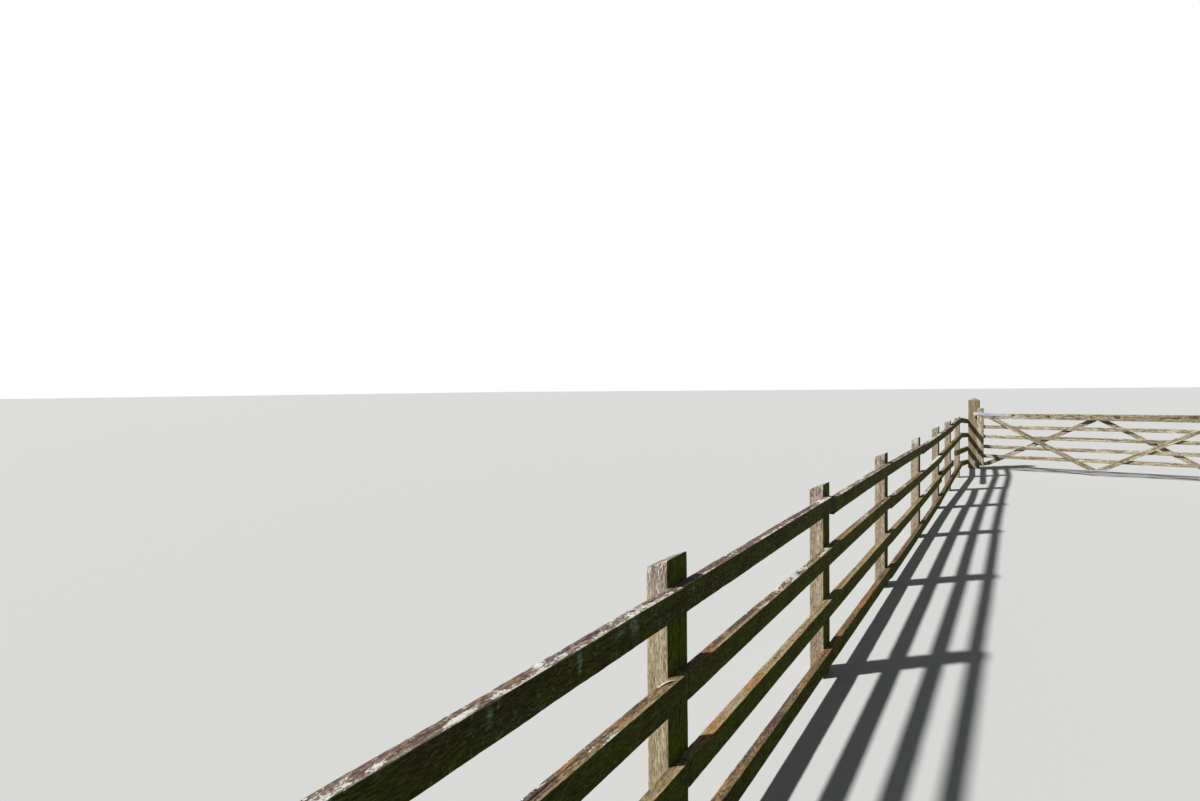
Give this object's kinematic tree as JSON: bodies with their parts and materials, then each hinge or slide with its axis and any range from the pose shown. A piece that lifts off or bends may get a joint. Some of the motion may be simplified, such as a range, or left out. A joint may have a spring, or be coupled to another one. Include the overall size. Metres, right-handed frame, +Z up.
{
  "type": "timber post-and-rail fence with field gate",
  "caption": "Sawn timber fence of posts and nailed rails that runs up to a big hanging post, with a diamond-braced barred field gate swinging from it and its shutting post.",
  "frame": {"origin": "middle of the hanging post's flat foot, at ground level", "axes": "+Z up; -X along the fence away from the gate; -Y from the hanging post along the closed gate, which is also the side the rails are nailed on"},
  "size_m": [14.0305, 3.913, 1.368],
  "materials": {
    "fence_post_timber": "sawn, weathered grey-tan with open grain and lichen",
    "rail_timber": "sawn, dark weathered brown with pale lichen on the upper edges",
    "gatepost_timber": "sawn, weathered tan with drying cracks",
    "gate_timber": "sawn, weathered pale pinkish grey",
    "galvanised_iron": "hot-dip galvanised, dull with spangle"
  },
  "bodies": {
    "fence": {"fence_post_1": "fence_post_timber", "fence_post_2": "fence_post_timber", "fence_post_3": "fence_post_timber", "fence_post_4": "fence_post_timber", "fence_post_5": "fence_post_timber", "fence_post_6": "fence_post_timber", "fence_post_7": "fence_post_timber", "fence_post_8": "fence_post_timber", "row_1_rail_1": "rail_timber", "row_1_rail_2": "rail_timber", "row_1_rail_3": "rail_timber", "row_1_rail_4": "rail_timber", "row_1_gate_rail": "rail_timber", "row_2_rail_1": "rail_timber", "row_2_rail_2": "rail_timber", "row_2_rail_3": "rail_timber", "row_2_rail_4": "rail_timber", "row_2_gate_rail": "rail_timber", "row_3_rail_1": "rail_timber", "row_3_rail_2": "rail_timber", "row_3_rail_3": "rail_timber", "row_3_rail_4": "rail_timber", "row_3_gate_rail": "rail_timber", "row_4_rail_1": "rail_timber", "row_4_rail_2": "rail_timber", "row_4_rail_3": "rail_timber", "row_4_rail_4": "rail_timber", "row_4_gate_rail": "rail_timber", "hanging_post": "gatepost_timber", "shutting_post": "gatepost_timber", "gate_hooks": "galvanised_iron", "catch_keeper": "galvanised_iron"},
    "gate": {"heel_stile": "gate_timber", "head_stile": "gate_timber", "gate_top_rail": "gate_timber", "gate_bar_2": "gate_timber", "gate_bar_3": "gate_timber", "gate_bar_4": "gate_timber", "gate_bar_5": "gate_timber", "front_brace_heel": "gate_timber", "front_brace_head": "gate_timber", "back_brace_heel": "gate_timber", "back_brace_head": "gate_timber", "top_hinge_band": "galvanised_iron", "lower_hinge_eye": "galvanised_iron", "gate_catch": "galvanised_iron"}
  },
  "joints": [
    {"name": "gate_swing", "type": "hinge", "parent": "fence", "child": "gate", "pos_m": [-0.1475, -0.012, 0], "axis": [0, 0, -1], "range_deg": [0, 90]}
  ]
}
